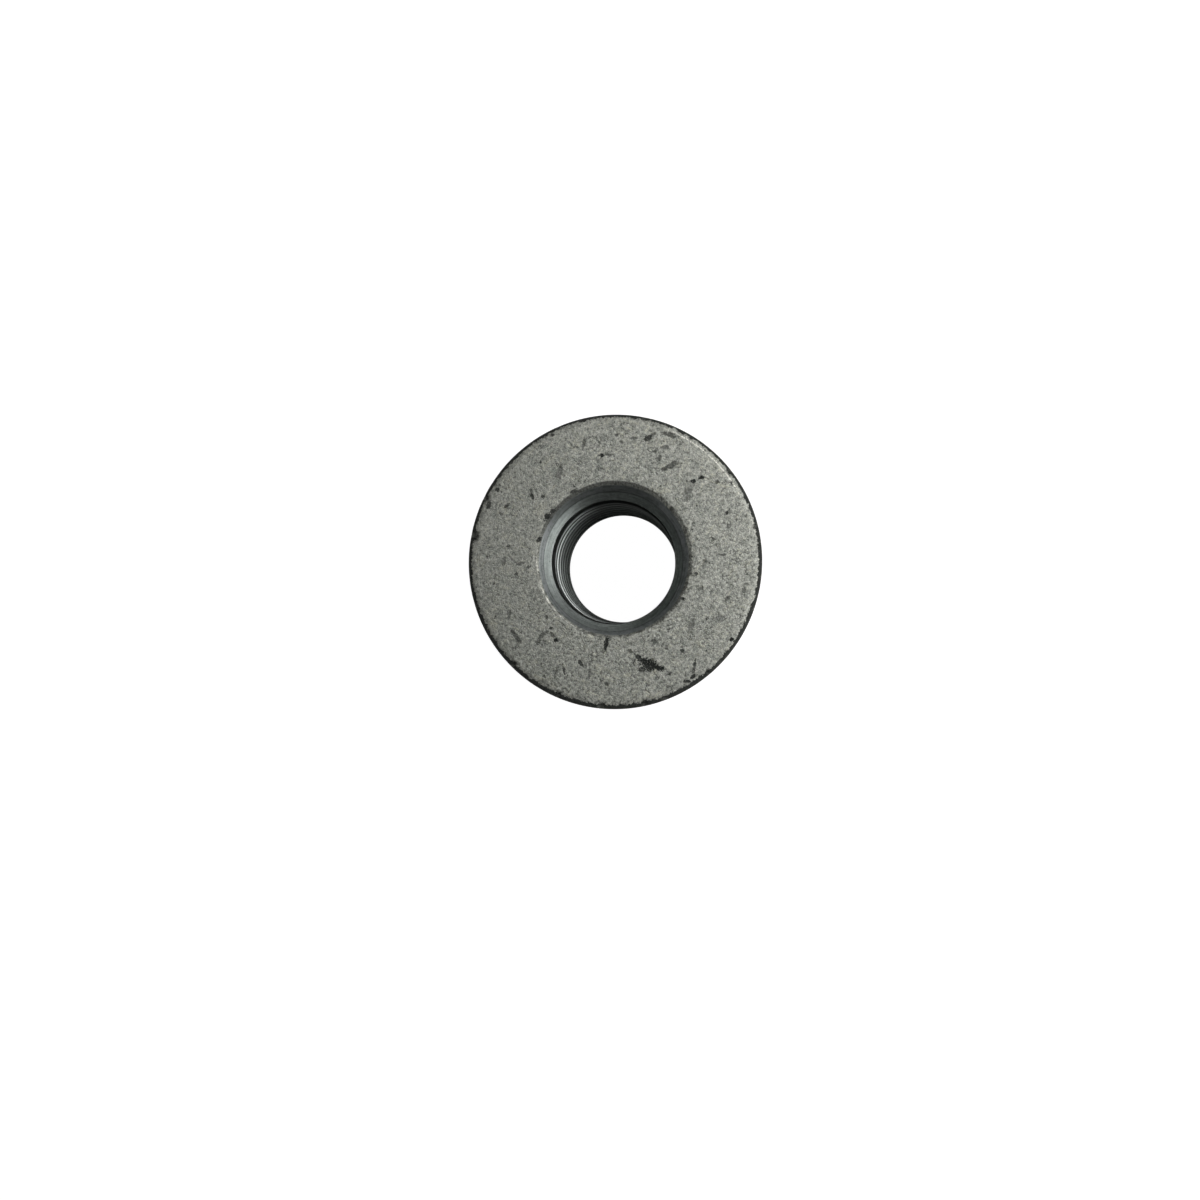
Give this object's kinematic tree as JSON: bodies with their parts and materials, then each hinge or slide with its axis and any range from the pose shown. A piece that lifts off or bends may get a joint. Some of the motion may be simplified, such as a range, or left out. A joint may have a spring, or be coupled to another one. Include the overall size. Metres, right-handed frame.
{
  "type": "hex weld nut",
  "caption": "Hexagon nut with a round flange and a fine threaded bore, welded to sheet or plate by its flange to give a bolt a strong fixed thread.",
  "frame": {"origin": "centre of the hexagon's free end, on the thread's axis", "axes": "+Z along the thread, out of the flange face; two of the hexagon's flats face along Y and two of its corners lie along X"},
  "size_m": [0.0293, 0.0292, 0.014],
  "materials": {
    "zinc_plated_steel": "dull zinc plating with fine mottling, dark specks, small dents and scuffs"
  },
  "bodies": {
    "root": {"weld_nut": "zinc_plated_steel"}
  },
  "joints": []
}
